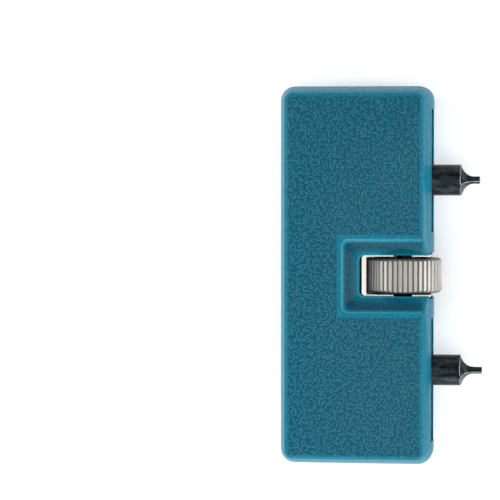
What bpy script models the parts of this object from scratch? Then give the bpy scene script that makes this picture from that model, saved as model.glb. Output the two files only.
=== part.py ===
"""Two-pin adjustable opener for screw-back watch cases.

A thumb wheel turns a lead screw with a left-hand and a right-hand half, which moves two jaws apart or
together along a guide rod. Each jaw carries a steel pin that stands out of a slot in the case. The tool
lies on its back face: +Z is up, +Y runs along the case and +X points out along the pins. The origin is
on the surface it lies on, midway between the case's back edge and the pin tips.
"""

import math

import bmesh
import bpy
from mathutils import Vector

MM = 0.001

# Case: two moulded half shells that meet at mid-thickness
CASE_LENGTH = 75.0 * MM
CASE_WIDTH = 30.2 * MM
CASE_THICKNESS = 17.0 * MM
CORNER_RADIUS = 2.75 * MM
EDGE_BAND = 5.5 * MM  # height of the upright band round the case's edge
BEVEL_WIDTH = 1.45 * MM  # the bevel runs in by this much from the band to the face
FACE_ROUNDING = 0.4 * MM
WALL = 1.9 * MM
PARTING_GAP = 0.3 * MM

# Clearances
FIT = 0.3 * MM  # between pieces that touch or turn in each other
SLIDE = 0.25 * MM  # between a jaw and what it runs past

# Lead screw and thumb wheel
SCREW_FROM_EDGE = 5.75 * MM  # from the case's pin edge in to the screw's axis
THREAD_RADIUS = 2.0 * MM
JOURNAL_RADIUS = 1.5 * MM
HUB_RADIUS = 1.8 * MM
WHEEL_RADIUS = 7.43 * MM
WHEEL_WIDTH = 6.8 * MM
WHEEL_TEETH = 45
TOOTH_DEPTH = 0.42 * MM
RIM_CHAMFER = 0.4 * MM
WHEEL_DISH_RADIUS = 4.0 * MM
WHEEL_DISH_DEPTH = 1.0 * MM
WHEEL_GRUB_RADIUS = 1.0 * MM
WASHER_RADIUS = 3.5 * MM
WASHER_THICKNESS = 0.7 * MM

# Yoke: sheet bent round the wheel
SHEET = 0.6 * MM
YOKE_HALF_HEIGHT = 4.3 * MM
YOKE_BEND_RADIUS = 0.9 * MM
YOKE_WHEEL_GAP = 0.25 * MM
YOKE_EDGE_INSET = 0.3 * MM  # the cheeks end this far inside the case's edge

# Finger recess and wheel notch, the same on both faces
RECESS_DEPTH = 3.2 * MM
RECESS_SLOPE = 3.4 * MM
RECESS_CORNER = 1.3 * MM
NOTCH_HALF_WIDTH = 4.05 * MM
NOTCH_CORNER = 1.1 * MM
HOUSING_WALL = 1.75 * MM

# Jaws, guide rod and their slots
SLOT_INNER = 8.55 * MM  # from mid-length to each slot's inner end
SLOT_SHORT_OF_PIN = 0.075 * MM  # how far the slot stops short of the pin at the end of its travel
JAW_AT_REST = 18.9 * MM
JAW_WALL = 0.825 * MM  # beside the pin's bore
JAW_REAR_BACK = 7.85 * MM  # from the screw's axis back to the block's rear
JAW_FRONT = 3.55 * MM  # from the screw's axis out to the block's front
ARM_HALF_HEIGHT = 3.0 * MM
ROD_CLEARANCE = 0.52 * MM  # from the wheel's housing to the guide rod
ROD_RADIUS = 1.5 * MM
ROD_WALL = 1.1 * MM

# Pins
PIN_RADIUS = 3.075 * MM
PIN_REACH = 9.75 * MM  # from the case's pin edge out to the longer tip
PIN_SHOULDER = 5.45 * MM  # from the case's pin edge out to the end of the cylinder
PIN_BACK = 6.5 * MM  # from the screw's axis back to the pin's inner end
TIP_SIDE = 1.15 * MM
UPPER_TIP_SHORTER = 0.5 * MM
UPPER_PIN_TURN = math.radians(20)
LOWER_PIN_TURN = math.radians(24)
PIN_GRUB_RADIUS = 1.4 * MM
PIN_GRUB_BACK = 4.7 * MM  # from the screw's axis back to the grub screw's axis

# End bearings
END_BLOCK = 1.4 * MM  # how far the end blocks stand in from the end walls
BUSH_RADIUS = 3.0 * MM
BUSH_LENGTH = 1.7 * MM
END_SEAT_DEPTH = 0.6 * MM  # how far the end seats reach into the end walls

# Case screws, one row behind the jaws
SCREW_ROW_FROM_BACK = 5.8 * MM
SCREW_FROM_END = 6.0 * MM
BOSS_RADIUS = 2.5 * MM
SHANK_RADIUS = 0.95 * MM
HEAD_RADIUS = 2.0 * MM
HEAD_HEIGHT = 1.3 * MM
HEAD_INSET = 0.2 * MM
SCREW_COVER = 2.3 * MM  # left in front of the screws' tips
DRIVE_SLOT = 0.6 * MM

# Derived places, in the world frame
CASE_X = -PIN_REACH / 2
EDGE_X = CASE_X + CASE_WIDTH / 2
BACK_X = CASE_X - CASE_WIDTH / 2
MID_Z = CASE_THICKNESS / 2
AXIS_X = EDGE_X - SCREW_FROM_EDGE
JAW_HALF_LENGTH = PIN_RADIUS + FIT + JAW_WALL
ROD_BACK = WHEEL_RADIUS + YOKE_WHEEL_GAP + SHEET + FIT + HOUSING_WALL + ROD_CLEARANCE + ROD_RADIUS
ROD_X = AXIS_X - ROD_BACK
INNER_END = CASE_LENGTH / 2 - WALL
BLOCK_END = INNER_END - END_BLOCK
SLOT_OUTER = BLOCK_END - JAW_HALF_LENGTH + PIN_RADIUS - SLOT_SHORT_OF_PIN
SCREW_SPACING = (CASE_LENGTH - 2 * SCREW_FROM_END) / 3
SCREW_LENGTH = CASE_THICKNESS - HEAD_INSET - HEAD_HEIGHT - SCREW_COVER
SEAT_END = INNER_END + END_SEAT_DEPTH
CEILING = CASE_THICKNESS / 2 - WALL  # from the mid-plane to the inside of each face
CHEEK_INNER = WHEEL_WIDTH / 2 + YOKE_WHEEL_GAP
CHEEK_OUTER = CHEEK_INNER + SHEET
WEB_INNER_X = AXIS_X - WHEEL_RADIUS - YOKE_WHEEL_GAP
WEB_OUTER_X = WEB_INNER_X - SHEET
NOTCH_X = WEB_OUTER_X - FIT
BEVEL_HEIGHT = (CASE_THICKNESS - EDGE_BAND) / 2
OUTSIDE = 20.0 * MM  # how far cutters run past the case

PARTS = "case_back_opener"
CUTTERS = "cutters"
ALONG_X = (0.0, math.radians(90), 0.0)
ALONG_Y = (math.radians(-90), 0.0, 0.0)
ALONG_Z = (0.0, 0.0, 0.0)


def clear_scene():
    for old in list(bpy.data.objects):
        bpy.data.objects.remove(old, do_unlink=True)
    for name in (PARTS, CUTTERS):
        collection = bpy.data.collections.new(name)
        bpy.context.scene.collection.children.link(collection)


def material(name, colour, roughness, metallic):
    found = bpy.data.materials.get(name)
    if found:
        return found
    made = bpy.data.materials.new(name)
    made.use_nodes = True
    shader = made.node_tree.nodes["Principled BSDF"]
    shader.inputs["Base Color"].default_value = (*colour, 1.0)
    shader.inputs["Roughness"].default_value = roughness
    shader.inputs["Metallic"].default_value = metallic
    return made


def teal_plastic():
    return material("teal_plastic", (0.02, 0.13, 0.19), 0.45, 0.0)


def nickel():
    return material("nickel_plate", (0.55, 0.53, 0.50), 0.25, 1.0)


def black_oxide():
    return material("black_oxide_steel", (0.03, 0.035, 0.04), 0.4, 0.8)


def bright_steel():
    return material("bright_steel", (0.5, 0.5, 0.5), 0.3, 1.0)


def brass():
    return material("brass", (0.7, 0.5, 0.2), 0.3, 1.0)


def place(obj, finish):
    """Puts a sub-part in its collection, or a cutter, which has no finish, in the other."""
    if finish is None:
        bpy.data.collections[CUTTERS].objects.link(obj)
        obj.hide_render = True
        obj.display_type = "WIRE"
        return obj
    bpy.data.collections[PARTS].objects.link(obj)
    obj.data.materials.append(finish)
    return obj


def from_bmesh(name, bm, finish=None):
    mesh = bpy.data.meshes.new(name)
    bm.normal_update()
    bm.to_mesh(mesh)
    bm.free()
    return place(bpy.data.objects.new(name, mesh), finish)


def box(name, low, high, finish=None):
    """A box from one corner to the other, with its origin at its centre."""
    low, high = Vector(low), Vector(high)
    bm = bmesh.new()
    bmesh.ops.create_cube(bm, size=1.0)
    bmesh.ops.scale(bm, vec=high - low, verts=bm.verts)
    obj = from_bmesh(name, bm, finish)
    obj.location = (low + high) / 2
    return obj


def cylinder(name, radius, start, end, axis, finish=None, sides=24):
    """A cylinder between two points that differ along one axis only."""
    start, end = Vector(start), Vector(end)
    bm = bmesh.new()
    bmesh.ops.create_cone(
        bm,
        cap_ends=True,
        segments=sides,
        radius1=radius,
        radius2=radius,
        depth=(end - start).length,
    )
    obj = from_bmesh(name, bm, finish)
    obj.rotation_euler = axis
    obj.location = (start + end) / 2
    return obj


def turned(name, profile, place_at, axis, finish=None, sides=32):
    """A turned piece: (radius, height) points from the top down its outer side, round the local Z axis."""
    mesh = bpy.data.meshes.new(name)
    closed = profile[0][0] > 0
    points = [(radius, 0.0, height) for radius, height in profile]
    edges = [(i, i + 1) for i in range(len(points) - 1)]
    if closed:
        edges.append((len(points) - 1, 0))
    mesh.from_pydata(points, edges, [])
    obj = place(bpy.data.objects.new(name, mesh), finish)
    screw = obj.modifiers.new("turn", "SCREW")
    screw.axis = "Z"
    screw.steps = sides
    screw.render_steps = sides
    screw.use_merge_vertices = True
    screw.merge_threshold = 0.00001
    screw.use_smooth_shade = sides > 8
    obj.location = place_at
    obj.rotation_euler = axis
    return obj


def combine(obj, other, operation):
    step = obj.modifiers.new(operation.lower(), "BOOLEAN")
    step.operation = operation
    step.solver = "EXACT"
    step.object = other


def cut(obj, *cutters):
    for cutter in cutters:
        combine(obj, cutter, "DIFFERENCE")


def shade_round(obj):
    obj.data.shade_smooth()
    obj.data.set_sharp_from_angle(angle=math.radians(35))


def upright_edges(bm):
    return [e for e in bm.edges if abs(e.verts[0].co.z - e.verts[1].co.z) > 0.2 * MM]


def half_block(name, half_x, half_y, band, height, bevel, radius, rounding, finish=None):
    """Half of a case: an upright band from z = 0, then a bevel in to a flat face at z = height."""
    bm = bmesh.new()
    bmesh.ops.create_cube(bm, size=1.0)
    bmesh.ops.scale(bm, vec=(2 * half_x, 2 * half_y, band), verts=bm.verts)
    bmesh.ops.translate(bm, vec=(0, 0, band / 2), verts=bm.verts)
    bmesh.ops.bevel(
        bm,
        geom=upright_edges(bm),
        offset=radius,
        offset_type="OFFSET",
        affect="EDGES",
        segments=5,
        profile=0.5,
        material=-1,
    )
    face = max(bm.faces, key=lambda f: f.normal.z)
    bmesh.ops.inset_region(bm, faces=[face], thickness=bevel, depth=0, use_even_offset=True, use_boundary=True)
    bmesh.ops.translate(bm, vec=(0, 0, height - band), verts=face.verts)
    if rounding:
        bmesh.ops.bevel(
            bm,
            geom=list(face.edges),
            offset=rounding,
            offset_type="OFFSET",
            affect="EDGES",
            segments=2,
            profile=0.5,
            material=-1,
        )
    return from_bmesh(name, bm, finish)


def rounded_box(name, low, high, radius, shift=0.0, draw_in=0.0):
    """A box with rounded upright edges. Its lower rim can be drawn in on three sides to make a sloped tub."""
    low, high = Vector(low), Vector(high)
    middle = (low + high) / 2
    bm = bmesh.new()
    bmesh.ops.create_cube(bm, size=1.0)
    bmesh.ops.scale(bm, vec=high - low, verts=bm.verts)
    bmesh.ops.translate(bm, vec=middle, verts=bm.verts)
    back = [e for e in upright_edges(bm) if e.verts[0].co.x < middle.x]
    bmesh.ops.bevel(
        bm,
        geom=back,
        offset=radius,
        offset_type="OFFSET",
        affect="EDGES",
        segments=4,
        profile=0.5,
        material=-1,
    )
    for vert in bm.verts:
        if vert.co.z < middle.z:
            vert.co.y -= math.copysign(draw_in, vert.co.y)
            if vert.co.x < middle.x:
                vert.co.x += shift
    return from_bmesh(name, bm)


def boss_places():
    return [(BACK_X + SCREW_ROW_FROM_BACK, SCREW_SPACING * (i - 1.5)) for i in range(4)]


def half_cavity(name):
    """The hollow of a half shell, less the bosses, the end blocks and the housing round the wheel."""
    hollow = half_block(
        name,
        CASE_WIDTH / 2 - WALL,
        CASE_LENGTH / 2 - WALL,
        EDGE_BAND / 2,
        CEILING,
        BEVEL_WIDTH * (CEILING - EDGE_BAND / 2) / BEVEL_HEIGHT,
        CORNER_RADIUS - WALL * 0.7,
        0.0,
    )
    hollow.location = (CASE_X, 0, 0)
    low, high = -1 * MM, CASE_THICKNESS
    housing_y = CHEEK_OUTER + FIT + HOUSING_WALL
    housing = box(
        name + "_housing",
        (NOTCH_X - HOUSING_WALL, -housing_y, low),
        (EDGE_X + OUTSIDE, housing_y, high),
    )
    recess_half = NOTCH_HALF_WIDTH + RECESS_SLOPE
    slab_low = CASE_THICKNESS / 2 - RECESS_DEPTH - WALL
    slab = box(
        name + "_slab",
        (NOTCH_X - RECESS_SLOPE - WALL, -recess_half + SLIDE, slab_low),
        (EDGE_X + OUTSIDE, recess_half - SLIDE, high),
    )
    cut(hollow, housing, slab)
    for side in (-1, 1):
        ends = sorted((side * BLOCK_END, side * CASE_LENGTH))
        block = box(
            f"{name}_end_{side}",
            (ROD_X - ROD_RADIUS - 2 * WALL, ends[0], low),
            (EDGE_X + OUTSIDE, ends[1], high),
        )
        cut(hollow, block)
    for number, (x, y) in enumerate(boss_places()):
        boss = cylinder(f"{name}_boss_{number}", BOSS_RADIUS, (x, y, low), (x, y, high), ALONG_Z)
        cut(hollow, boss)
    return hollow


def shell_cutters(name):
    """What both half shells are cut by, on the side of the mid-plane where z is over 0."""
    face = CASE_THICKNESS / 2
    rim = face - RECESS_DEPTH
    half = NOTCH_HALF_WIDTH + RECESS_SLOPE
    # the tub runs on above the face at the same slope, so that it cuts through cleanly
    over = 0.4 * MM
    grow = RECESS_SLOPE * over / RECESS_DEPTH
    tub = rounded_box(
        name + "_recess",
        (NOTCH_X - RECESS_SLOPE - grow, -half - grow, rim),
        (EDGE_X + OUTSIDE, half + grow, face + over),
        RECESS_CORNER,
        shift=RECESS_SLOPE + grow,
        draw_in=RECESS_SLOPE + grow,
    )
    notch = rounded_box(
        name + "_notch",
        (NOTCH_X, -NOTCH_HALF_WIDTH, -1 * MM),
        (EDGE_X + OUTSIDE + MM, NOTCH_HALF_WIDTH, rim + over),
        NOTCH_CORNER,
    )
    pocket_y = CHEEK_OUTER + FIT
    pocket = box(
        name + "_pocket",
        (NOTCH_X + 0.02 * MM, -pocket_y, -1.2 * MM),
        (EDGE_X + OUTSIDE + 2 * MM, pocket_y, YOKE_HALF_HEIGHT + FIT),
    )
    found = [tub, notch, pocket]
    for side in (-1, 1):
        ends = sorted((side * SLOT_INNER, side * SLOT_OUTER))
        slot = box(
            f"{name}_slot_{side}",
            (EDGE_X - 2 * WALL, ends[0], -0.9 * MM),
            (EDGE_X + OUTSIDE, ends[1], PIN_RADIUS + SLIDE),
        )
        # the jaws run close along the inside of the pin edge, deeper than the bevelled hollow
        inner = SLOT_INNER + PIN_RADIUS - JAW_HALF_LENGTH - SLIDE
        outer = SLOT_OUTER - PIN_RADIUS + JAW_HALF_LENGTH
        ends = sorted((side * inner, side * outer))
        way = box(
            f"{name}_jaw_way_{side}",
            (AXIS_X, ends[0], -0.8 * MM),
            (AXIS_X + JAW_FRONT + SLIDE, ends[1], CEILING - 0.05 * MM),
        )
        found += [slot, way]
        # seats for the screw's bush and the guide rod in the end block and end wall
        near, seat = side * (BLOCK_END - MM), side * SEAT_END
        seats = (("bush", BUSH_RADIUS, AXIS_X), ("rod", ROD_RADIUS, ROD_X))
        for part, radius, x in seats:
            found.append(cylinder(f"{name}_{part}_{side}", radius + FIT, (x, near, 0), (x, seat, 0), ALONG_Y))
    near = BLOCK_END - MM
    screw_way = cylinder(name + "_screw_way", THREAD_RADIUS + FIT, (AXIS_X, -near, 0), (AXIS_X, near, 0), ALONG_Y)
    return found + [screw_way]


def half_shell(name, side):
    """One half of the case. side is +1 for the front, above the mid-plane, and -1 for the back."""
    shell = half_block(
        name,
        CASE_WIDTH / 2,
        CASE_LENGTH / 2,
        EDGE_BAND / 2,
        CASE_THICKNESS / 2,
        BEVEL_WIDTH,
        CORNER_RADIUS,
        FACE_ROUNDING,
        teal_plastic(),
    )
    shell.location = (CASE_X, 0, 0)
    cavity = half_cavity(name + "_cavity")
    parting = box(
        name + "_parting",
        (BACK_X - OUTSIDE, -CASE_LENGTH, -2 * MM),
        (EDGE_X + 2 * OUTSIDE, CASE_LENGTH, PARTING_GAP / 2),
    )
    cut(shell, cavity, *shell_cutters(name))
    for number, (x, y) in enumerate(boss_places()):
        hole = SHANK_RADIUS + FIT
        if side > 0:
            depth = HEAD_INSET + HEAD_HEIGHT + SCREW_LENGTH - CASE_THICKNESS / 2 + FIT
            bore = cylinder(f"{name}_bore_{number}", hole, (x, y, -MM), (x, y, depth), ALONG_Z, sides=16)
            cut(shell, bore)
        else:
            head = cylinder(
                f"{name}_head_{number}",
                HEAD_RADIUS + FIT,
                (x, y, CASE_THICKNESS / 2 - HEAD_INSET - HEAD_HEIGHT - FIT),
                (x, y, CASE_THICKNESS),
                ALONG_Z,
            )
            bore = cylinder(f"{name}_bore_{number}", hole, (x, y, -MM), (x, y, CASE_THICKNESS), ALONG_Z, sides=16)
            cut(shell, head, bore)
    cut(shell, parting)
    return shell


def bake(obj):
    """Replaces an object's modifiers by the mesh they make."""
    bpy.context.view_layer.update()
    evaluated = obj.evaluated_get(bpy.context.evaluated_depsgraph_get())
    mesh = bpy.data.meshes.new_from_object(evaluated)
    obj.modifiers.clear()
    obj.data = mesh
    return obj


def case_shells():
    """Both shells are modelled above the mid-plane. The back one is then turned over onto the table."""
    front = bake(half_shell("front_shell", 1))
    back = bake(half_shell("back_shell", -1))
    bm = bmesh.new()
    bm.from_mesh(back.data)
    bmesh.ops.scale(bm, vec=(1, 1, -1), verts=bm.verts)
    bmesh.ops.reverse_faces(bm, faces=bm.faces)
    bm.to_mesh(back.data)
    bm.free()
    for shell in (front, back):
        shell.location.z = MID_Z
        shade_round(shell)


def case_screws():
    top = HEAD_INSET
    for number, (x, y) in enumerate(boss_places()):
        profile = [
            (0.0, HEAD_HEIGHT + SCREW_LENGTH),
            (SHANK_RADIUS * 0.4, HEAD_HEIGHT + SCREW_LENGTH),
            (SHANK_RADIUS, HEAD_HEIGHT + SCREW_LENGTH - 1.5 * MM),
            (SHANK_RADIUS, HEAD_HEIGHT),
            (HEAD_RADIUS, HEAD_HEIGHT),
            (HEAD_RADIUS, 0.4 * MM),
            (HEAD_RADIUS - 0.5 * MM, 0.0),
            (0.0, 0.0),
        ]
        screw = turned(f"case_screw_{number + 1}", profile, (x, y, top), ALONG_Z, bright_steel(), sides=20)
        slots = (
            (HEAD_RADIUS * 0.6, DRIVE_SLOT / 2),
            (DRIVE_SLOT / 2, HEAD_RADIUS * 0.6),
        )
        for index, (half_x, half_y) in enumerate(slots):
            slot = box(
                f"case_screw_{number + 1}_slot_{index}",
                (x - half_x, y - half_y, top - MM),
                (x + half_x, y + half_y, top + 0.8 * MM),
            )
            cut(screw, slot)


def wheel_yoke():
    """A sheet bent to a U round the wheel, open towards the pins, with a slot for the screw in each cheek."""
    right = EDGE_X - YOKE_EDGE_INSET
    bm = bmesh.new()
    bmesh.ops.create_cube(bm, size=1.0)
    size = Vector((right - WEB_OUTER_X, 2 * CHEEK_OUTER, 2 * YOKE_HALF_HEIGHT))
    bmesh.ops.scale(bm, vec=size, verts=bm.verts)
    back = [e for e in upright_edges(bm) if e.verts[0].co.x < 0]
    bmesh.ops.bevel(
        bm,
        geom=back,
        offset=YOKE_BEND_RADIUS,
        offset_type="OFFSET",
        affect="EDGES",
        segments=4,
        profile=0.5,
        material=-1,
    )
    yoke = from_bmesh("wheel_yoke", bm, nickel())
    yoke.location = ((right + WEB_OUTER_X) / 2, 0, MID_Z)
    inside = rounded_box(
        "wheel_yoke_inside",
        (WEB_INNER_X, -CHEEK_INNER, -OUTSIDE),
        (EDGE_X + OUTSIDE, CHEEK_INNER, OUTSIDE + CASE_THICKNESS),
        YOKE_BEND_RADIUS - SHEET,
    )
    slot_radius = JOURNAL_RADIUS + FIT
    foot = cylinder(
        "wheel_yoke_slot_foot",
        slot_radius,
        (AXIS_X, -2 * CHEEK_OUTER, MID_Z),
        (AXIS_X, 2 * CHEEK_OUTER, MID_Z),
        ALONG_Y,
    )
    slot = box(
        "wheel_yoke_slot",
        (AXIS_X - slot_radius, -3 * CHEEK_OUTER, MID_Z),
        (AXIS_X + slot_radius, 3 * CHEEK_OUTER, MID_Z + OUTSIDE),
    )
    cut(yoke, inside, foot, slot)
    return yoke


def knurled_blank(name, finish):
    """The wheel's blank: a toothed prism with chamfered rims, round the local Z axis."""
    steps = 4 * WHEEL_TEETH
    half = WHEEL_WIDTH / 2
    root = WHEEL_RADIUS - TOOTH_DEPTH
    rim = root - 0.05 * MM

    def radius_at(index):
        return WHEEL_RADIUS if index % 4 in (1, 2) else root

    bm = bmesh.new()
    ring = bmesh.ops.create_circle(bm, cap_ends=True, radius=rim, segments=steps)["verts"]
    bmesh.ops.translate(bm, vec=(0, 0, -half), verts=ring)
    heights = ((-half + RIM_CHAMFER, True), (half - RIM_CHAMFER, True), (half, False))
    base = bm.faces[:][0]
    face = base
    for height, toothed in heights:
        made = bmesh.ops.extrude_face_region(bm, geom=[face])["geom"]
        if face.is_valid and face is not base:
            bmesh.ops.delete(bm, geom=[face], context="FACES_ONLY")
        face = next(f for f in made if isinstance(f, bmesh.types.BMFace))
        for vert in face.verts:
            angle = math.atan2(vert.co.y, vert.co.x)
            index = round(angle / (2 * math.pi) * steps) % steps
            radius = radius_at(index) if toothed else rim
            vert.co = (radius * math.cos(angle), radius * math.sin(angle), height)
    bmesh.ops.recalc_face_normals(bm, faces=bm.faces)
    return from_bmesh(name, bm, finish)


def thumb_wheel(hub):
    wheel = knurled_blank("thumb_wheel", nickel())
    wheel.parent = hub
    wheel.rotation_euler = ALONG_Y
    half = WHEEL_WIDTH / 2
    floor = half - WHEEL_DISH_DEPTH
    bore = HUB_RADIUS + FIT
    profile = [
        (0.0, half + MM),
        (WHEEL_DISH_RADIUS, half + MM),
        (WHEEL_DISH_RADIUS, floor),
        (bore, floor),
        (bore, -floor),
        (WHEEL_DISH_RADIUS, -floor),
        (WHEEL_DISH_RADIUS, -half - MM),
        (0.0, -half - MM),
    ]
    centre = turned("thumb_wheel_bore", profile, (AXIS_X, 0, MID_Z), ALONG_Y)
    hole = cylinder(
        "thumb_wheel_grub_hole",
        WHEEL_GRUB_RADIUS + SLIDE,
        (AXIS_X, 0, MID_Z - WHEEL_RADIUS - MM),
        (AXIS_X, 0, MID_Z),
        ALONG_Z,
        sides=16,
    )
    cut(wheel, centre, hole)
    return wheel


def grub_screw(name, radius, top, bottom, parent, finish):
    """A headless set screw along Z with a socket in its outer end, given in world heights."""
    length = top[2] - bottom[2]
    screw = turned(
        name,
        [
            (0.0, length / 2),
            (radius - 0.15 * MM, length / 2),
            (radius, length / 2 - 0.15 * MM),
            (radius, -length / 2 + 0.3 * MM),
            (radius - 0.3 * MM, -length / 2),
            (0.0, -length / 2),
        ],
        (0, 0, 0),
        ALONG_Z,
        finish,
        sides=20,
    )
    middle = (Vector(top) + Vector(bottom)) / 2
    screw.parent = parent
    screw.location = middle - parent.location
    return screw


def socket(screw, name, radius, opening, depth):
    """Cuts a hexagon socket from the opening point, depth is signed along Z."""
    end = Vector(opening) + Vector((0, 0, depth))
    start = Vector(opening) - Vector((0, 0, math.copysign(MM, depth)))
    low, high = sorted((start, end), key=lambda v: v.z)
    cut(screw, cylinder(name, radius, low, high, ALONG_Z, sides=6))


def lead_screw(hub):
    thread_start = CHEEK_OUTER + 0.45 * MM
    hub_end = WHEEL_WIDTH / 2 - WHEEL_DISH_DEPTH
    thread_end = BLOCK_END - 0.3 * MM
    end = SEAT_END - FIT
    chamfer = 0.3 * MM
    upper = [
        (0.0, end),
        (JOURNAL_RADIUS - chamfer, end),
        (JOURNAL_RADIUS, end - chamfer),
        (JOURNAL_RADIUS, thread_end + chamfer),
        (THREAD_RADIUS, thread_end),
        (THREAD_RADIUS, thread_start + chamfer),
        (JOURNAL_RADIUS, thread_start),
        (JOURNAL_RADIUS, hub_end),
        (HUB_RADIUS, hub_end),
    ]
    lower = [(radius, -height) for radius, height in reversed(upper)]
    screw = turned("lead_screw", upper + lower, (0, 0, 0), ALONG_Y, black_oxide(), sides=24)
    screw.parent = hub
    return screw


def wheel_group():
    """The thumb wheel, its set screw and the lead screw turn together about the screw's axis."""
    hub = bpy.data.objects.new("wheel_axis", None)
    bpy.data.collections[PARTS].objects.link(hub)
    hub.location = (AXIS_X, 0, MID_Z)
    thumb_wheel(hub)
    lead_screw(hub)
    inner = (AXIS_X, 0, MID_Z - HUB_RADIUS - FIT)
    outer = (AXIS_X, 0, MID_Z - WHEEL_RADIUS + TOOTH_DEPTH + 1.2 * MM)
    grub = grub_screw("wheel_set_screw", WHEEL_GRUB_RADIUS, inner, outer, hub, black_oxide())
    socket(grub, "wheel_set_screw_socket", 0.5 * MM, outer, 1.2 * MM)


def ring(name, outer, inner, low, high, finish):
    """A plain ring round the screw's axis, between two places along Y."""
    half = (high - low) / 2
    profile = [(inner, half), (outer, half), (outer, -half), (inner, -half)]
    return turned(name, profile, (AXIS_X, (low + high) / 2, MID_Z), ALONG_Y, finish)


def bearings():
    for word, side in (("upper", 1), ("lower", -1)):
        washer_far = CHEEK_INNER - FIT
        washer = sorted((side * washer_far, side * (washer_far - WASHER_THICKNESS)))
        ring(f"{word}_thrust_washer", WASHER_RADIUS, JOURNAL_RADIUS + FIT, *washer, brass())
        bush_far = SEAT_END - FIT
        bush = sorted((side * bush_far, side * (bush_far - BUSH_LENGTH)))
        ring(f"{word}_end_bush", BUSH_RADIUS, JOURNAL_RADIUS + FIT, *bush, brass())


def guide_rod():
    end = SEAT_END - FIT
    chamfer = 0.3 * MM
    profile = [
        (0.0, end),
        (ROD_RADIUS - chamfer, end),
        (ROD_RADIUS, end - chamfer),
        (ROD_RADIUS, chamfer - end),
        (ROD_RADIUS - chamfer, -end),
        (0.0, -end),
    ]
    return turned("guide_rod", profile, (ROD_X, 0, MID_Z), ALONG_Y, bright_steel(), sides=20)


def jaw(word, slide, y):
    """A sliding block tapped for the screw, with an arm back to the guide rod and a bore for the pin."""
    half_height = CEILING - SLIDE
    rear = AXIS_X - JAW_REAR_BACK
    front = AXIS_X + JAW_FRONT
    block = box(
        f"{word}_jaw",
        (rear, y - JAW_HALF_LENGTH, MID_Z - half_height),
        (front, y + JAW_HALF_LENGTH, MID_Z + half_height),
        bright_steel(),
    )
    block.parent = slide
    block.location -= slide.location
    ease = block.modifiers.new("broken_edges", "BEVEL")
    ease.width = 0.4 * MM
    ease.segments = 1
    arm_rear = ROD_X - ROD_RADIUS - FIT - ROD_WALL
    arm_side = JAW_HALF_LENGTH - 0.2 * MM
    arm = box(
        f"{word}_jaw_arm",
        (arm_rear, y - arm_side, MID_Z - ARM_HALF_HEIGHT),
        (rear + MM, y + arm_side, MID_Z + ARM_HALF_HEIGHT),
    )
    combine(block, arm, "UNION")
    low, high = y - 2 * JAW_HALF_LENGTH, y + 2 * JAW_HALF_LENGTH
    bores = (
        ("screw", THREAD_RADIUS + FIT, (AXIS_X, low, MID_Z), (AXIS_X, high, MID_Z), ALONG_Y),
        ("rod", ROD_RADIUS + FIT, (ROD_X, low, MID_Z), (ROD_X, high, MID_Z), ALONG_Y),
        (
            "pin",
            PIN_RADIUS + FIT,
            (AXIS_X - PIN_BACK - FIT, y, MID_Z),
            (front + MM, y, MID_Z),
            ALONG_X,
        ),
        (
            "grub",
            PIN_GRUB_RADIUS + FIT,
            (AXIS_X - PIN_GRUB_BACK, y, MID_Z + 1 * MM),
            (AXIS_X - PIN_GRUB_BACK, y, MID_Z + CASE_THICKNESS),
            ALONG_Z,
        ),
    )
    for part, radius, start, end, axis in bores:
        cut(block, cylinder(f"{word}_jaw_{part}_bore", radius, start, end, axis))
    return block


def pin_profile(reach):
    """From the tip back: the concave face as a quarter circle, then the cylinder. Heights are world X."""
    half_tip = TIP_SIDE / 2
    sweep = PIN_RADIUS - half_tip
    shoulder = EDGE_X + PIN_SHOULDER
    steps = 7
    arc = []
    for index in range(steps + 1):
        angle = math.radians(90) * index / steps
        arc.append((half_tip + sweep * (1 - math.cos(angle)), shoulder + sweep * (1 - math.sin(angle))))
    return [(0.0, reach), (half_tip, reach)] + arc


def pin(word, slide, y, turn, reach):
    """A round pin whose end is milled to a square tip by four concave faces, cross-drilled for the screw."""
    shoulder = EDGE_X + PIN_SHOULDER
    back = AXIS_X - PIN_BACK
    chamfer = 0.3 * MM
    body = [
        (0.0, EDGE_X + reach + MM),
        (PIN_RADIUS, EDGE_X + reach + MM),
        (PIN_RADIUS, back + chamfer),
        (PIN_RADIUS - chamfer, back),
        (0.0, back),
    ]
    origin = slide.location
    place_at = (0, 0, 0)
    along = [(radius, x - origin.x) for radius, x in body]
    obj = turned(f"{word}_pin", along, place_at, ALONG_X, black_oxide())
    obj.parent = slide
    corner = math.sqrt(2)
    faces = [(radius * corner, x - origin.x) for radius, x in pin_profile(EDGE_X + reach)]
    faces += [(PIN_RADIUS * corner, back - MM - origin.x), (0.0, back - MM - origin.x)]
    square = turned(f"{word}_pin_faces", faces, origin, ALONG_X, sides=4)
    square.rotation_mode = "ZYX"
    square.rotation_euler.z = turn
    combine(obj, square, "INTERSECT")
    way = cylinder(
        f"{word}_pin_cross_hole",
        THREAD_RADIUS + FIT,
        (AXIS_X, y - 2 * PIN_RADIUS, MID_Z),
        (AXIS_X, y + 2 * PIN_RADIUS, MID_Z),
        ALONG_Y,
    )
    cut(obj, way)
    return obj


def jaw_group(word, side, turn, reach):
    """A jaw, its pin and its set screw slide together along the lead screw."""
    y = side * JAW_AT_REST
    slide = bpy.data.objects.new(f"{word}_jaw_slide", None)
    bpy.data.collections[PARTS].objects.link(slide)
    slide.location = (AXIS_X, y, MID_Z)
    jaw(word, slide, y)
    pin(word, slide, y, turn, reach)
    x = AXIS_X - PIN_GRUB_BACK
    top = (x, y, MID_Z + CEILING - 2 * SLIDE)
    bottom = (x, y, MID_Z + PIN_RADIUS + FIT)
    grub = grub_screw(f"{word}_pin_set_screw", PIN_GRUB_RADIUS, top, bottom, slide, black_oxide())
    socket(grub, f"{word}_pin_set_screw_socket", 0.75 * MM, top, -1.5 * MM)


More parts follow.
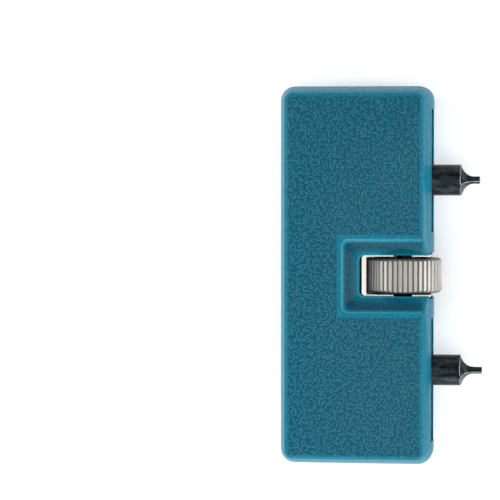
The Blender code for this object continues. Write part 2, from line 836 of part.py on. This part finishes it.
def main():
    clear_scene()
    case_shells()
    case_screws()
    wheel_yoke()
    bearings()
    guide_rod()
    wheel_group()
    jaw_group("upper", 1, UPPER_PIN_TURN, PIN_REACH - UPPER_TIP_SHORTER)
    jaw_group("lower", -1, LOWER_PIN_TURN, PIN_REACH)


main()
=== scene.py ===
"""Looks of a two-pin adjustable opener for screw-back watch cases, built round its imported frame."""

import math

import bmesh
import bpy
from mathutils import Matrix, Vector


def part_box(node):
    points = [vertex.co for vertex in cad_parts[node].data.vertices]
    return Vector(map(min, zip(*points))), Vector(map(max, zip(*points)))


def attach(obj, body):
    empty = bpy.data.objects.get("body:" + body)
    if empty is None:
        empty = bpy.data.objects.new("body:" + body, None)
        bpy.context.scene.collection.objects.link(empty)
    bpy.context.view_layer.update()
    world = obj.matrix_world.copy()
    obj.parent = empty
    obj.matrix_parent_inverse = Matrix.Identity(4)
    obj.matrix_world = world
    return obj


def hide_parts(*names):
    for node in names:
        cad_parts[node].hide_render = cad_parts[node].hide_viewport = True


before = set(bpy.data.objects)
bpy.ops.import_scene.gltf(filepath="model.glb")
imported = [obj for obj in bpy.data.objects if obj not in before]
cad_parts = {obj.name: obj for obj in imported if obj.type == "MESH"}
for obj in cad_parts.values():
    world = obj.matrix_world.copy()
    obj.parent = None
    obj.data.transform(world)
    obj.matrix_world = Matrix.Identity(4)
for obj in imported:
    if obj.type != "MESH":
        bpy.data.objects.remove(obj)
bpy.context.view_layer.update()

MM = 0.001

# --- Case shells ------------------------------------------------------------------------------------
# Two injection-moulded ABS halves that meet at mid-thickness. The mould's flat faces are etched with a
# worm-like wrinkle grain, its bevels with a finer one, and a plain margin runs along every edge.
SHELL_LOW, SHELL_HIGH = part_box("front_shell")
BACK_LOW, BACK_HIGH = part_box("back_shell")
CASE_X = (SHELL_LOW.x + SHELL_HIGH.x) / 2
PARTING_Z = (SHELL_LOW.z + BACK_HIGH.z) / 2
PARTING_LINE = 0.08 * MM  # what is left of the joint between the closed halves
GRAIN_WIDTH = 0.42 * MM
GRAIN_SPACING = 0.66 * MM
WORM_HALF_LENGTH = 0.25 * MM
WORM_BEND = 500.0  # how far aside a worm's ends lie, per square of their distance from its middle
BEVEL_GRAIN = 0.3 * MM
PLAIN_MARGIN = 0.55 * MM


def srgb(code):
    """An sRGB hex colour as linear red, green, blue and an alpha of one."""
    parts = [int(code[i : i + 2], 16) / 255 for i in (1, 3, 5)]
    return [c / 12.92 if c <= 0.04045 else ((c + 0.055) / 1.055) ** 2.4 for c in parts] + [1.0]


def add(material, kind, links=None, **settings):
    """Adds a node with its settings. links maps an input's name or number to a value or another's output."""
    node = material.node_tree.nodes.new("ShaderNode" + kind)
    for name, value in settings.items():
        setattr(node, name, value)
    for key, value in (links or {}).items():
        if isinstance(value, bpy.types.NodeSocket):
            material.node_tree.links.new(value, node.inputs[key])
        else:
            node.inputs[key].default_value = value
    return node


def new_material(name, **sockets):
    """A material with a Principled shader, whose constant sockets are given in words_with_underscores."""
    made = bpy.data.materials.new(name)
    made.use_nodes = True
    shader = made.node_tree.nodes["Principled BSDF"]
    for word, value in sockets.items():
        shader.inputs[word.replace("_", " ").title().replace("Ior", "IOR")].default_value = value
    return made, shader


def link(material, output, shader, socket):
    material.node_tree.links.new(output, shader.inputs[socket])


def smoothed(material, value, low, high, flip=False):
    """A value eased from 0 to 1 between low and high, or the other way round."""
    ends = (1.0, 0.0) if flip else (0.0, 1.0)
    return add(
        material,
        "MapRange",
        {"Value": value, "From Min": low, "From Max": high, "To Min": ends[0], "To Max": ends[1]},
        interpolation_type="SMOOTHSTEP",
    ).outputs["Result"]


def math_node(material, operation, first, second=0.0):
    return add(material, "Math", {0: first, 1: second}, operation=operation).outputs[0]


def wrinkled_abs():
    """Teal ABS out of an etched mould. The grain's ridges are painted lighter and its grooves darker, as
    painted highlight and painted shade.
    """
    made, shader = new_material("wrinkled_abs")
    place = add(made, "TexCoord").outputs["Object"]
    axes = add(made, "SeparateXYZ", {0: place}).outputs
    # how far a point is inside the flat face's edges, along the case and across it
    across = math_node(made, "ABSOLUTE", math_node(made, "SUBTRACT", axes["X"], CASE_X))
    along = math_node(made, "ABSOLUTE", axes["Y"])
    height = math_node(made, "ABSOLUTE", math_node(made, "SUBTRACT", axes["Z"], PARTING_Z))
    face = SHELL_HIGH.z - PARTING_Z
    half_x = (SHELL_HIGH.x - SHELL_LOW.x) / 2 - BEVEL_IN - PLAIN_MARGIN
    half_y = SHELL_HIGH.y - BEVEL_IN - PLAIN_MARGIN
    inside_x = smoothed(made, across, half_x - 0.3 * MM, half_x + 0.1 * MM, flip=True)
    inside_y = smoothed(made, along, half_y - 0.3 * MM, half_y + 0.1 * MM, flip=True)
    on_face = smoothed(made, height, face - 0.2 * MM, face - 0.05 * MM)
    recess_x = smoothed(made, axes["X"], RECESS_X - 0.9 * MM, RECESS_X - 0.5 * MM)
    recess_y = smoothed(made, along, RECESS_Y + 0.5 * MM, RECESS_Y + 0.9 * MM, flip=True)
    clear = math_node(made, "SUBTRACT", 1.0, math_node(made, "MULTIPLY", recess_x, recess_y))
    flat = math_node(made, "MULTIPLY", math_node(made, "MULTIPLY", inside_x, inside_y), on_face)
    flat = math_node(made, "MULTIPLY", flat, clear)
    # one short worm to each cell of the face, turned by the cell's own angle and bent a little
    cell = add(
        made,
        "TexVoronoi",
        {"Vector": place, "Scale": 1 / GRAIN_SPACING, "Randomness": 0.9},
        voronoi_dimensions="2D",
    ).outputs
    local = add(made, "VectorMath", {0: place, 1: cell["Position"]}, operation="SUBTRACT").outputs[0]
    chance = add(made, "SeparateXYZ", {0: cell["Color"]}).outputs
    turn = math_node(made, "MULTIPLY", chance["X"], 2 * math.pi)
    turned = add(made, "VectorRotate", {"Vector": local, "Angle": turn}, rotation_type="Z_AXIS").outputs[0]
    worm_axes = add(made, "SeparateXYZ", {0: turned}).outputs
    bend = math_node(made, "MULTIPLY", math_node(made, "POWER", worm_axes["X"], 2.0), WORM_BEND)
    aside = math_node(made, "ADD", worm_axes["Y"], bend)
    past = math_node(made, "SUBTRACT", math_node(made, "ABSOLUTE", worm_axes["X"]), WORM_HALF_LENGTH)
    past = math_node(made, "MAXIMUM", past, 0.0)
    past_squared = math_node(made, "POWER", past, 2.0)
    squares = math_node(made, "ADD", past_squared, math_node(made, "POWER", aside, 2.0))
    from_worm = math_node(made, "SQRT", squares)
    raised = smoothed(made, from_worm, 0.12 * GRAIN_WIDTH, 0.52 * GRAIN_WIDTH, flip=True)
    brightness = add(made, "MapRange", {"Value": chance["Y"], "To Min": 0.55, "To Max": 1.0}).outputs[0]
    raised = math_node(made, "MULTIPLY", raised, brightness)
    fine = add(made, "TexNoise", {"Vector": place, "Scale": 0.5 / BEVEL_GRAIN, "Detail": 1.0}).outputs["Fac"]
    fine_raised = smoothed(made, fine, 0.35, 0.65)
    # the slopes round the wheel were left smooth in the mould, but for a trace of the grain
    slope = math_node(made, "MULTIPLY", recess_x, recess_y)
    below_rim = smoothed(made, height, face - 0.9 * MM, face - 0.45 * MM, flip=True)
    slope = math_node(made, "MULTIPLY", slope, below_rim)
    before_edge = smoothed(made, axes["X"], SHELL_HIGH.x - BEVEL_IN, SHELL_HIGH.x - BEVEL_IN - 0.4 * MM)
    slope = math_node(made, "MULTIPLY", slope, before_edge)
    edge_level = math_node(made, "MULTIPLY", fine_raised, 0.3)
    level = add(made, "Mix", {0: flat, 2: edge_level, 3: raised}, data_type="FLOAT").outputs[0]
    # raised worms are painted lighter and the gaps between them darker: painted highlight and painted shade
    # on the grain
    worm_painted_light = add(made, "Mix", {0: raised, 6: srgb("#08485c"), 7: srgb("#1d6b7f")}, data_type="RGBA").outputs[2]
    # the bevels and the plain margin are painted lighter than the flat face, as painted light from the low
    # side lamps
    edge = add(
        made, "Mix", {0: fine_raised, 6: srgb("#066077"), 7: srgb("#0d6d83")}, data_type="RGBA"
    ).outputs[2]
    colour = add(made, "Mix", {0: flat, 6: edge, 7: worm_painted_light}, data_type="RGBA").outputs[2]
    # the slopes round the wheel are painted darker than the face, as painted shade: darkest below the rim, a
    # little lighter towards the notch's mouth
    depth = smoothed(made, height, face - RECESS_DEPTH, face - 0.45 * RECESS_DEPTH, flip=True)
    depth = math_node(made, "ADD", depth, math_node(made, "MULTIPLY", fine_raised, 0.25))
    smooth = add(made, "Mix", {0: depth, 6: srgb("#0a3c4f"), 7: srgb("#10657b")}, data_type="RGBA").outputs[2]
    colour = add(made, "Mix", {0: slope, 6: colour, 7: smooth}, data_type="RGBA").outputs[2]
    # the recess's rim and the notch's mouth are painted lighter, a painted highlight along these edges
    within = math_node(made, "MULTIPLY", math_node(made, "MULTIPLY", recess_x, recess_y), before_edge)
    rim_painted_highlight = math_node(made, "SUBTRACT", smoothed(made, height, face - 0.55 * MM, face - 0.2 * MM), on_face)
    mouth = smoothed(made, height, face - RECESS_DEPTH + 0.15 * MM, face - RECESS_DEPTH + 0.5 * MM, flip=True)
    rim_painted_highlight = math_node(made, "MULTIPLY", rim_painted_highlight, 0.6)
    wear_and_painted_highlight = math_node(made, "ADD", rim_painted_highlight, math_node(made, "MULTIPLY", mouth, 0.55))
    wear_and_painted_highlight = math_node(made, "MULTIPLY", wear_and_painted_highlight, within)
    colour = add(made, "Mix", {0: wear_and_painted_highlight, 6: colour, 7: srgb("#2498ad")}, data_type="RGBA").outputs[2]
    link(made, colour, shader, "Base Color")
    rough = add(made, "MapRange", {"Value": level, "To Min": 0.42, "To Max": 0.34}).outputs[0]
    rough = add(made, "Mix", {0: slope, 2: rough, 3: 0.3}, data_type="FLOAT").outputs[0]
    link(made, rough, shader, "Roughness")
    gloss = add(made, "MapRange", {"Value": slope, "To Min": 0.12, "To Max": 0.06}).outputs[0]
    link(made, gloss, shader, "Specular IOR Level")
    bump = add(made, "Bump", {"Strength": 1.0, "Distance": 0.1 * MM, "Height": level}).outputs[0]
    link(made, bump, shader, "Normal")
    return made


def merged_copy(node):
    """A copy of a CAD node's mesh, with its triangles merged into whole faces."""
    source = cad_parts[node]
    bm = bmesh.new()
    bm.from_mesh(source.data)
    bmesh.ops.remove_doubles(bm, verts=bm.verts, dist=0.001 * MM)
    bmesh.ops.dissolve_limit(bm, angle_limit=math.radians(0.8), verts=bm.verts, edges=bm.edges)
    return bm


def finish_piece(bm, name, materials, body, nodes=(), smooth=40):
    """Makes the mesh an object, shades it, gives it its materials, parents it to its body and hides the CAD
    nodes it replaces.
    """
    mesh = bpy.data.meshes.new(name)
    bm.to_mesh(mesh)
    bm.free()
    for material in materials:
        mesh.materials.append(material)
    mesh.shade_smooth()
    mesh.set_sharp_from_angle(angle=math.radians(smooth))
    piece = bpy.data.objects.new(name, mesh)
    bpy.context.scene.collection.objects.link(piece)
    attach(piece, body)
    if nodes:
        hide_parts(*nodes)
    return piece


def soften(piece, width, segments=3, angle=30):
    """Rounds a piece's sharp edges, as a mould or a deburring wheel leaves them."""
    bevel = piece.modifiers.new("rounded_edges", "BEVEL")
    bevel.width = width
    bevel.segments = segments
    bevel.limit_method = "ANGLE"
    bevel.angle_limit = math.radians(angle)
    bevel.harden_normals = True
    bevel.use_clamp_overlap = True
    return bevel


BEVEL_IN = 1.45 * MM
RECESS_Y = 7.45 * MM
WHEEL_LOW, WHEEL_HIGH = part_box("thumb_wheel")
YOKE_LOW, YOKE_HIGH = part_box("wheel_yoke")
RECESS_X = YOKE_LOW.x - 3.7 * MM
RECESS_DEPTH = 3.2 * MM
ABS = wrinkled_abs()
for half, node in ((1, "front_shell"), (-1, "back_shell")):
    bm = merged_copy(node)
    for vert in bm.verts:
        if abs(vert.co.z - PARTING_Z) < 0.16 * MM:
            vert.co.z = PARTING_Z + half * PARTING_LINE / 2
    # the mould rounds the recess's outline and the notch's mouth more than the other edges
    face_z = PARTING_Z + half * (SHELL_HIGH.z - PARTING_Z)
    mouth_z = face_z - half * RECESS_DEPTH
    outline, mouth = [], []
    for edge in bm.edges:
        ends = [v.co for v in edge.verts]
        if len(edge.link_faces) != 2 or edge.calc_face_angle(0) < math.radians(20):
            continue
        if any(abs(c.y) > RECESS_Y + 0.1 * MM or c.x < RECESS_X - 0.1 * MM for c in ends):
            continue
        if all(abs(c.z - face_z) < 0.02 * MM for c in ends):
            outline.append(edge)
        elif all(abs(c.z - mouth_z) < 0.02 * MM for c in ends):
            mouth.append(edge)
    bmesh.ops.bevel(
        bm,
        geom=outline + mouth,
        offset=0.55 * MM,
        affect="EDGES",
        segments=4,
        profile=0.5,
        clamp_overlap=True,
    )
    shell = finish_piece(bm, f"moulded_{node}", [ABS], "case", [node])
    soften(shell, 0.3 * MM)

# --- Steel and brass hardware inside the case ---------------------------------------------------------
# Machined blocks, a ground rod, and turned washers and bushes. Little of them shows through the slots.


def machined_steel():
    """Bright steel as it leaves the mill and the grinder: fine marks across the piece, slightly oily."""
    made, shader = new_material("machined_steel", metallic=1.0)
    place = add(made, "TexCoord").outputs["Object"]
    stretched = add(made, "Mapping", {"Vector": place, "Scale": (400.0, 4000.0, 400.0)}).outputs[0]
    marks = add(made, "TexNoise", {"Vector": stretched, "Scale": 1.0, "Detail": 2.0}).outputs["Fac"]
    colour = add(made, "Mix", {0: marks, 6: srgb("#8d8d8a"), 7: srgb("#b4b3af")}, data_type="RGBA").outputs[2]
    link(made, colour, shader, "Base Color")
    rough = add(made, "MapRange", {"Value": marks, "To Min": 0.28, "To Max": 0.42}).outputs[0]
    link(made, rough, shader, "Roughness")
    return made


def turned_brass():
    """Brass off the lathe, yellow and satin, a little tarnished."""
    made, shader = new_material("turned_brass", metallic=1.0)
    place = add(made, "TexCoord").outputs["Object"]
    tarnish = add(made, "TexNoise", {"Vector": place, "Scale": 900.0, "Detail": 3.0}).outputs["Fac"]
    colour = add(
        made, "Mix", {0: tarnish, 6: srgb("#8c6d35"), 7: srgb("#c9a557")}, data_type="RGBA"
    ).outputs[2]
    link(made, colour, shader, "Base Color")
    rough = add(made, "MapRange", {"Value": tarnish, "To Min": 0.24, "To Max": 0.4}).outputs[0]
    link(made, rough, shader, "Roughness")
    return made


STEEL = machined_steel()
BRASS = turned_brass()


def refinish(node, material):
    """Gives a CAD node that keeps its own shape a new finish."""
    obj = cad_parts[node]
    obj.data.materials.clear()
    obj.data.materials.append(material)


for node in ("upper_jaw", "lower_jaw", "guide_rod"):
    refinish(node, STEEL)
for word in ("upper", "lower"):
    refinish(f"{word}_thrust_washer", BRASS)
    refinish(f"{word}_end_bush", BRASS)

# --- Thumb wheel ------------------------------------------------------------------------------------
# Turned from steel bar, straight-knurled with 45 ridges, chamfered on both rims and nickel plated.
# The radial hole of its set screw isn't cut here.
AXIS = Vector(((WHEEL_LOW.x + WHEEL_HIGH.x) / 2, 0, PARTING_Z))
WHEEL_RADIUS = (WHEEL_HIGH.x - WHEEL_LOW.x) / 2
WHEEL_HALF = (WHEEL_HIGH.y - WHEEL_LOW.y) / 2
TEETH = 45
RIDGE_DEPTH = 0.4 * MM


def plated_nickel(name, dull=0.0):
    """Nickel over brushed steel: warm grey, nearly mirror-bright. With dull set it is rougher and its grooves
    are painted darker, as painted shade.
    """
    made, shader = new_material(name, metallic=1.0)
    place = add(made, "TexCoord").outputs["Object"]
    centred = add(made, "Mapping", {"Vector": place, "Location": (-AXIS.x, 0.0, -AXIS.z)}).outputs[0]
    flat = add(made, "VectorMath", {0: centred, 1: (1.0, 0.0, 1.0)}, operation="MULTIPLY").outputs[0]
    radius = add(made, "VectorMath", {0: flat}, operation="LENGTH").outputs["Value"]
    # with dull set, the grooves between the ridges are painted darker, as painted shade
    ridge = smoothed(made, radius, WHEEL_RADIUS - RIDGE_DEPTH, WHEEL_RADIUS - 0.08 * MM)
    haze = add(made, "TexNoise", {"Vector": place, "Scale": 700.0, "Detail": 4.0}).outputs["Fac"]
    haze_and_groove_shade = math_node(made, "MULTIPLY", ridge, smoothed(made, haze, 0.0, 0.45)) if dull else haze
    low, high = ("#64625e", "#a5a39f") if dull else ("#a8a5a0", "#cbc8c2")
    colour = add(made, "Mix", {0: haze_and_groove_shade, 6: srgb(low), 7: srgb(high)}, data_type="RGBA").outputs[2]
    link(made, colour, shader, "Base Color")
    rough = add(made, "MapRange", {"Value": haze, "To Min": 0.2 + dull, "To Max": 0.34 + dull}).outputs[0]
    link(made, rough, shader, "Roughness")
    return made


def rings(bm, stations, around, segments):
    """Rings of points round the wheel's axis, one for each (radius, place along Y), joined by faces."""
    loop = bmesh.ops.create_circle(bm, cap_ends=False, radius=1.0, segments=segments)["verts"]
    angles = {vert: math.atan2(vert.co.y, vert.co.x) for vert in loop}
    edges = [e for e in bm.edges]
    first, last = edges, edges
    for number, (radius, y, toothed) in enumerate(stations):
        if number:
            made = bmesh.ops.extrude_edge_only(bm, edges=last)["geom"]
            fresh = [g for g in made if isinstance(g, bmesh.types.BMVert)]
            last = [g for g in made if isinstance(g, bmesh.types.BMEdge) and all(v in fresh for v in g.verts)]
            angles = {vert: math.atan2(vert.co.z - around.z, vert.co.x - around.x) for vert in fresh}
        for vert, angle in angles.items():
            reach = radius - (ridge_profile(angle) * toothed)
            vert.co = around + Vector((reach * math.cos(angle), y, reach * math.sin(angle)))
    bmesh.ops.bridge_loops(bm, edges=first + last)
    bmesh.ops.recalc_face_normals(bm, faces=bm.faces)


def ridge_profile(angle):
    """How far the rim dips at an angle: broad flat-topped ridges with a narrow groove between each two."""
    phase = (angle / (2 * math.pi) * TEETH) % 1.0
    from_groove = min(phase, 1.0 - phase)
    return RIDGE_DEPTH * max(0.0, 1.0 - from_groove / 0.2)


bm = bmesh.new()
outer, chamfer = WHEEL_RADIUS, 0.4 * MM
dish_radius, dish, bore = 4.0 * MM, 1.0 * MM, 2.0 * MM
profile = []
for side in (-1, 1):
    steps = [
        (bore, WHEEL_HALF - dish, 0),
        (dish_radius - 0.15 * MM, WHEEL_HALF - dish, 0),
        (dish_radius, WHEEL_HALF - dish + 0.15 * MM, 0),
        (dish_radius, WHEEL_HALF - 0.15 * MM, 0),
        (dish_radius + 0.15 * MM, WHEEL_HALF, 0),
        (outer - chamfer - 0.2 * MM, WHEEL_HALF, 0),
        (outer - chamfer, WHEEL_HALF - 0.06 * MM, 0.2),
        (outer - 0.08 * MM, WHEEL_HALF - chamfer, 1),
        (outer, WHEEL_HALF - chamfer - 0.12 * MM, 1),
    ]
    ordered = steps if side < 0 else steps[::-1]
    profile += [(radius, side * y, toothed) for radius, y, toothed in ordered]
rings(bm, profile, AXIS, TEETH * 10)
NICKEL_WHEEL = plated_nickel("nickel_on_knurling", dull=0.28)
finish_piece(
    bm, "knurled_thumb_wheel", [NICKEL_WHEEL], "wheel", ["thumb_wheel"], smooth=32
)

# --- Wheel yoke -------------------------------------------------------------------------------------
# Steel strip bent to a U round the wheel, slotted for the screw in both cheeks, and nickel plated.
NICKEL = plated_nickel("nickel_on_strip")
LIP = 0.5 * MM
bm = merged_copy("wheel_yoke")
# both rims of the web move towards the wheel, and so does the flat face between them, which meets
# the wheel at mid-height
for vert in bm.verts:
    rim = abs(vert.co.z - PARTING_Z) > (YOKE_HIGH.z - YOKE_LOW.z) / 2 - 0.1 * MM
    inner = YOKE_LOW.x + 0.5 * MM < vert.co.x < YOKE_LOW.x + 0.95 * MM
    if rim and inner and abs(vert.co.y) < WHEEL_HALF + 0.27 * MM:
        vert.co.x += LIP
yoke = finish_piece(bm, "bent_yoke", [NICKEL], "case", ["wheel_yoke"], smooth=35)
soften(yoke, 0.17 * MM, segments=3, angle=40)

# --- Lead screw -------------------------------------------------------------------------------------
# One blackened steel screw, cut left-hand above the wheel and right-hand below, 4 mm at 0.7 mm pitch.
SCREW_LOW, SCREW_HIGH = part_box("lead_screw")
PITCH = 0.7 * MM
CREST = 2.0 * MM
ROOT = 1.62 * MM
JOURNAL = 1.5 * MM


def black_oxide():
    """Hot black oxide on turned steel, oiled: blue-black and satin, with faint turning marks."""
    made, shader = new_material("black_oxide", metallic=0.85)
    place = add(made, "TexCoord").outputs["Object"]
    stretched = add(made, "Mapping", {"Vector": place, "Scale": (300.0, 2200.0, 2200.0)}).outputs[0]
    marks = add(made, "TexNoise", {"Vector": stretched, "Scale": 1.0, "Detail": 3.0}).outputs["Fac"]
    blotch = add(made, "TexNoise", {"Vector": place, "Scale": 900.0, "Detail": 2.0}).outputs["Fac"]
    mixed = math_node(made, "MULTIPLY", marks, blotch)
    eased = smoothed(made, mixed, 0.15, 0.4)
    colour = add(made, "Mix", {0: eased, 6: srgb("#0d1418"), 7: srgb("#2b3338")}, data_type="RGBA").outputs[2]
    link(made, colour, shader, "Base Color")
    rough = add(made, "MapRange", {"Value": marks, "To Min": 0.3, "To Max": 0.48}).outputs[0]
    link(made, rough, shader, "Roughness")
    bump = add(made, "Bump", {"Strength": 0.25, "Distance": 0.02 * MM, "Height": marks}).outputs[0]
    link(made, bump, shader, "Normal")
    return made


BLACK = black_oxide()


def turn_profile(bm, points, around, axis, steps=48):
    """A solid of revolution from (radius, place along the axis) points that start and end on the axis."""
    across = Vector((0, 0, 1))
    verts = [bm.verts.new(around + axis * place + across * radius) for radius, place in points]
    edges = [bm.edges.new(pair) for pair in zip(verts, verts[1:])]
    bmesh.ops.spin(
        bm,
        geom=verts + edges,
        cent=around,
        axis=axis,
        angle=2 * math.pi,
        steps=steps,
        use_merge=True,
        use_duplicate=False,
    )
    bmesh.ops.remove_doubles(bm, verts=bm.verts, dist=0.002 * MM)
    bmesh.ops.recalc_face_normals(bm, faces=bm.faces)


bm = bmesh.new()
end = SCREW_HIGH.y
thread_start, thread_end = 4.75 * MM, end - 2.25 * MM
hub_end = WHEEL_HALF - 1.0 * MM
half_profile = [
    (0.0, end),
    (JOURNAL - 0.3 * MM, end),
    (JOURNAL, end - 0.3 * MM),
    (JOURNAL, thread_end),
    (ROOT, thread_end),
    (ROOT, thread_start),
    (JOURNAL, thread_start),
    (JOURNAL, hub_end),
    (1.8 * MM, hub_end),
]
whole = half_profile + [(radius, -place) for radius, place in reversed(half_profile)]
turn_profile(bm, whole, AXIS, Vector((0, 1, 0)))
for side in (1, -1):
    # a ridge of triangular section, wound round the core, with both ends closed
    turns = int((thread_end - thread_start) / PITCH) - 1
    start = side * (thread_start + PITCH)
    low, high = ROOT - 0.05 * MM, CREST
    corners = [(low, -0.46 * PITCH), (high, -0.07 * PITCH), (high, 0.07 * PITCH), (low, 0.46 * PITCH)]
    verts = [bm.verts.new(AXIS + Vector((radius, start + shift, 0))) for radius, shift in corners]
    section = bm.faces.new(verts)
    steps = 24
    bmesh.ops.spin(
        bm,
        geom=[section],
        cent=AXIS,
        axis=(0, 1, 0),
        dvec=(0, side * PITCH / steps, 0),
        angle=2 * math.pi * turns,
        steps=steps * turns,
        use_duplicate=False,
    )
bmesh.ops.recalc_face_normals(bm, faces=bm.faces)
finish_piece(bm, "threaded_lead_screw", [BLACK], "wheel", ["lead_screw"], smooth=30)

# --- Set screws -------------------------------------------------------------------------------------
# Headless grub screws with a hexagon socket: one fixes the wheel, one in each jaw clamps its pin.
for node in ("wheel_set_screw", "upper_pin_set_screw", "lower_pin_set_screw"):
    refinish(node, BLACK)

# --- Pins -------------------------------------------------------------------------------------------
# Tool-steel pins, turned and then milled by four concave faces to a small square tip, and blackened.
# Handling has rubbed the oxide off the shoulder and off the edges between the faces.
PIN_RADIUS = (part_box("upper_pin")[1].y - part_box("upper_pin")[0].y) / 2


def worn_edge():
    """Steel rubbed bare along an edge, bright but scratched."""
    made, shader = new_material("rubbed_steel", metallic=1.0)
    place = add(made, "TexCoord").outputs["Object"]
    scratch = add(made, "TexNoise", {"Vector": place, "Scale": 2500.0, "Detail": 2.0}).outputs["Fac"]
    colour = add(
        made, "Mix", {0: scratch, 6: srgb("#6f7375"), 7: srgb("#c9cccd")}, data_type="RGBA"
    ).outputs[2]
    link(made, colour, shader, "Base Color")
    rough = add(made, "MapRange", {"Value": scratch, "To Min": 0.2, "To Max": 0.4}).outputs[0]
    link(made, rough, shader, "Roughness")
    return made


WORN = worn_edge()
for word in ("upper", "lower"):
    node = f"{word}_pin"
    bm = merged_copy(node)
    low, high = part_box(node)
    shoulder = SHELL_HIGH.x + 5.3 * MM
    wear_and_painted_highlight = [
        e
        for e in bm.edges
        if len(e.link_faces) == 2
        and e.calc_face_angle(0) > math.radians(30)
        and min(v.co.x for v in e.verts) > shoulder
    ]
    bmesh.ops.bevel(
        bm,
        geom=wear_and_painted_highlight,
        offset=0.055 * MM,
        affect="EDGES",
        segments=2,
        profile=0.5,
        material=1,
        clamp_overlap=True,
    )
    finish_piece(bm, f"milled_{node}", [BLACK, WORN], f"{word}_carriage", [node], smooth=35)

# --- Case screws ------------------------------------------------------------------------------------
# Zinc-plated self-tapping screws in counterbored holes, with cross recesses, driven in from the back.


def zinc_plate():
    """Bright zinc with a faint blue cast."""
    made, shader = new_material("zinc_plate", metallic=1.0)
    place = add(made, "TexCoord").outputs["Object"]
    cloud = add(made, "TexNoise", {"Vector": place, "Scale": 1200.0, "Detail": 3.0}).outputs["Fac"]
    colour = add(made, "Mix", {0: cloud, 6: srgb("#8f949a"), 7: srgb("#c3c7cb")}, data_type="RGBA").outputs[2]
    link(made, colour, shader, "Base Color")
    rough = add(made, "MapRange", {"Value": cloud, "To Min": 0.25, "To Max": 0.42}).outputs[0]
    link(made, rough, shader, "Roughness")
    return made


ZINC = zinc_plate()
for number in range(1, 5):
    refinish(f"case_screw_{number}", ZINC)

# --- Floor, light and camera ----------------------------------------------------------------------------
# A plain pale sheet, low soft lights all round, and a long lens a little to the pins' side of overhead.
scene = bpy.context.scene
scene.view_settings.view_transform = "Standard"
bm = bmesh.new()
bmesh.ops.create_grid(bm, x_segments=1, y_segments=1, size=1.5)
bmesh.ops.translate(bm, vec=(0, 0, BACK_LOW.z - 0.02 * MM), verts=bm.verts)
mesh = bpy.data.meshes.new("paper_floor")
bm.to_mesh(mesh)
bm.free()
floor = bpy.data.objects.new("paper_floor", mesh)
scene.collection.objects.link(floor)
PAPER, paper_shader = new_material(
    "white_paper", roughness=0.9, emission_color=(1, 1, 1, 1), emission_strength=0.1
)
grain = add(PAPER, "TexNoise", {"Vector": add(PAPER, "TexCoord").outputs["Object"], "Scale": 900.0})
paper = add(PAPER, "Mix", {0: grain.outputs["Fac"], 6: srgb("#fafafa"), 7: srgb("#ffffff")}, data_type="RGBA")
link(PAPER, paper.outputs[2], paper_shader, "Base Color")
floor.data.materials.append(PAPER)

world = bpy.data.worlds.new("studio")
scene.world = world
world.use_nodes = True
world.node_tree.nodes["Background"].inputs["Color"].default_value = (1, 1, 1, 1)
world.node_tree.nodes["Background"].inputs["Strength"].default_value = 0.34

TARGET = Vector((CASE_X, 0, PARTING_Z))


def soft_light(name, place, size, power):
    """A square softbox that faces the tool."""
    data = bpy.data.lights.new(name, "AREA")
    data.shape = "RECTANGLE"
    data.size, data.size_y = size
    data.energy = power
    lamp = bpy.data.objects.new(name, data)
    scene.collection.objects.link(lamp)
    lamp.location = TARGET + Vector(place)
    lamp.rotation_euler = (TARGET - lamp.location).to_track_quat("-Z", "Y").to_euler()


soft_light("light_pin_side", (0.60, 0.02, 0.20), (0.35, 0.5), 3.2)
soft_light("light_lower_end", (-0.02, -0.60, 0.20), (0.6, 0.3), 3.8)
soft_light("light_back_side", (-0.60, 0.05, 0.22), (0.35, 0.5), 3.8)
soft_light("light_upper_end", (0.0, 0.60, 0.24), (0.5, 0.3), 1.2)
soft_light("light_overhead", (0.10, -0.12, 0.75), (0.45, 0.45), 1.6)

DISTANCE = 0.55
LENS = 199.188  # in mm, for a sensor 36 mm wide
camera_data = bpy.data.cameras.new("camera")
camera = bpy.data.objects.new("camera", camera_data)
scene.collection.objects.link(camera)
camera.location = TARGET + Vector((0.095, 0.045, 1.0)) * DISTANCE
aim = TARGET + Vector((-0.0217, 0.0048, 0.0))
back = (camera.location - aim).normalized()
right = Vector((0, 1, 0)).cross(back).normalized()
camera.rotation_euler = Matrix((right, back.cross(right), back)).transposed().to_euler()
camera_data.sensor_width = 36.0
camera_data.lens = LENS
camera_data.clip_start = 0.01
scene.camera = camera
